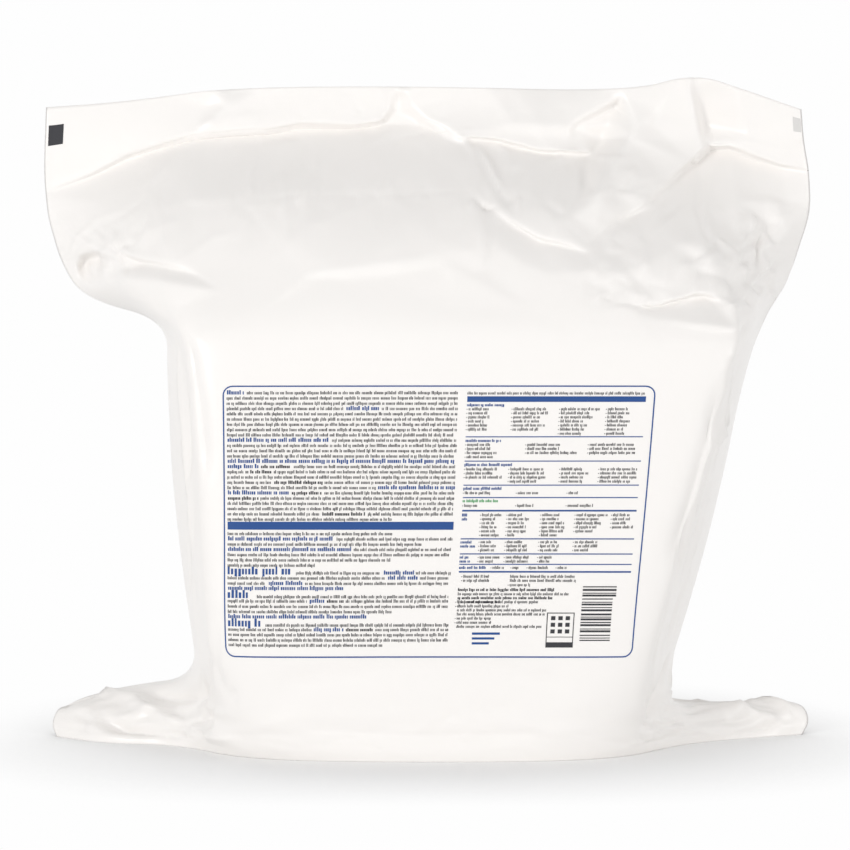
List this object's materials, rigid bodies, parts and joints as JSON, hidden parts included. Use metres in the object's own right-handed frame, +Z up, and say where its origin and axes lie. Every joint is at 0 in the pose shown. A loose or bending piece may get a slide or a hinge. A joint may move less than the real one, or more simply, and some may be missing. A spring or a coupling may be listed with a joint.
{
  "type": "wet wipes refill pouch",
  "caption": "Soft sealed film pouch standing on end around a roll of wet wipes, with a flat top seal that overhangs at both ends and two folded ears lying on the floor.",
  "frame": {"origin": "on the floor, under the middle of the pouch's width and depth", "axes": "+Z up, +X to the right along the top seal, the printed front faces -Y"},
  "size_m": [0.3579, 0.1686, 0.3068],
  "materials": {
    "film": "satin white polyethylene film with a printed panel in blue and dark grey on the front"
  },
  "bodies": {
    "root": {"pouch": "film"}
  },
  "joints": []
}
